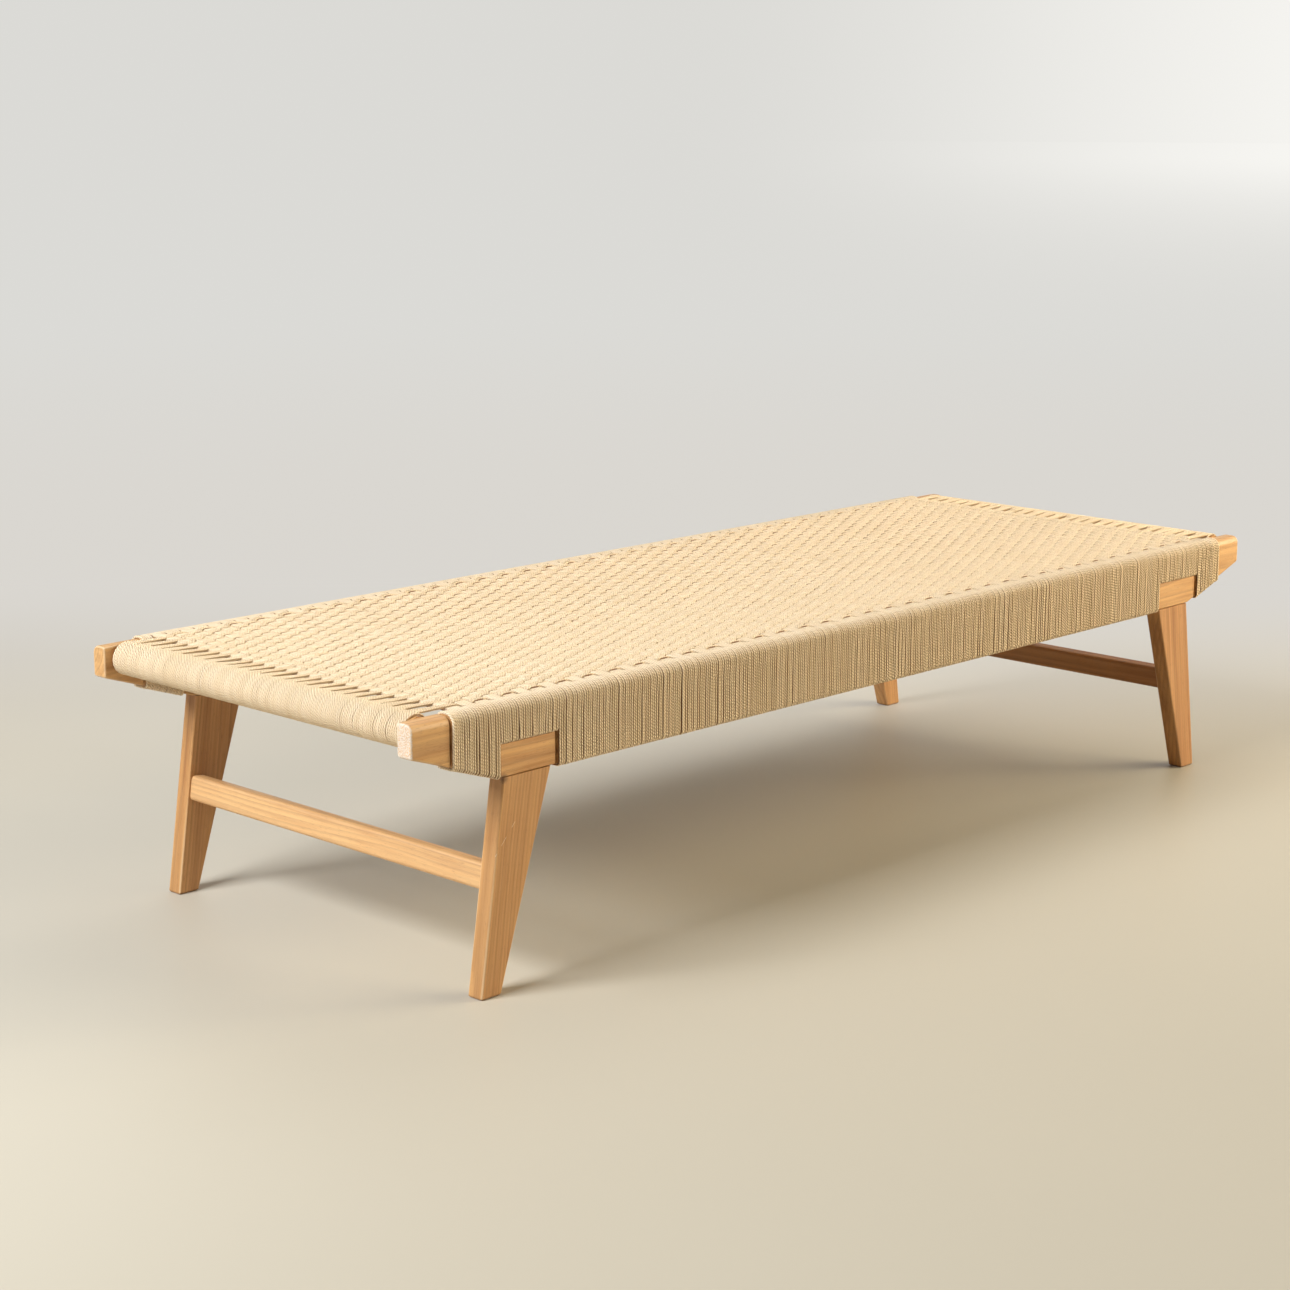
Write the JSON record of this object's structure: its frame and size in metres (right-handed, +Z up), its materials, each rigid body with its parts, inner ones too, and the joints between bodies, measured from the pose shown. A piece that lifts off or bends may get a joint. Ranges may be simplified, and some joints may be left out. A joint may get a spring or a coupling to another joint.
{
  "type": "daybed",
  "caption": "Low daybed with splayed legs, horned side rails and round end rails, wound and woven with paper cord, for lying or sitting on.",
  "frame": {"origin": "on the floor under the middle of the bench", "axes": "+X along the bench, +Y across it towards the back, +Z up"},
  "size_m": [1.9, 0.684, 0.3929],
  "materials": {
    "oiled_wood": "light oiled wood, satin, straight grain",
    "paper_cord": "natural twisted paper cord, matt with a slight sheen"
  },
  "bodies": {
    "root": {"side_rail_front": "oiled_wood", "side_rail_back": "oiled_wood", "end_rail_left": "oiled_wood", "end_rail_right": "oiled_wood", "leg_front_left": "oiled_wood", "leg_front_right": "oiled_wood", "leg_back_left": "oiled_wood", "leg_back_right": "oiled_wood", "stretcher_left": "oiled_wood", "stretcher_right": "oiled_wood", "cord_front_left_horn": "paper_cord", "cord_front_left_block": "paper_cord", "cord_front_middle": "paper_cord", "cord_front_right_block": "paper_cord", "cord_front_right_horn": "paper_cord", "cord_back_left_horn": "paper_cord", "cord_back_left_block": "paper_cord", "cord_back_middle": "paper_cord", "cord_back_right_block": "paper_cord", "cord_back_right_horn": "paper_cord", "cord_end_left": "paper_cord", "cord_end_right": "paper_cord", "woven_seat": "paper_cord"}
  },
  "joints": []
}
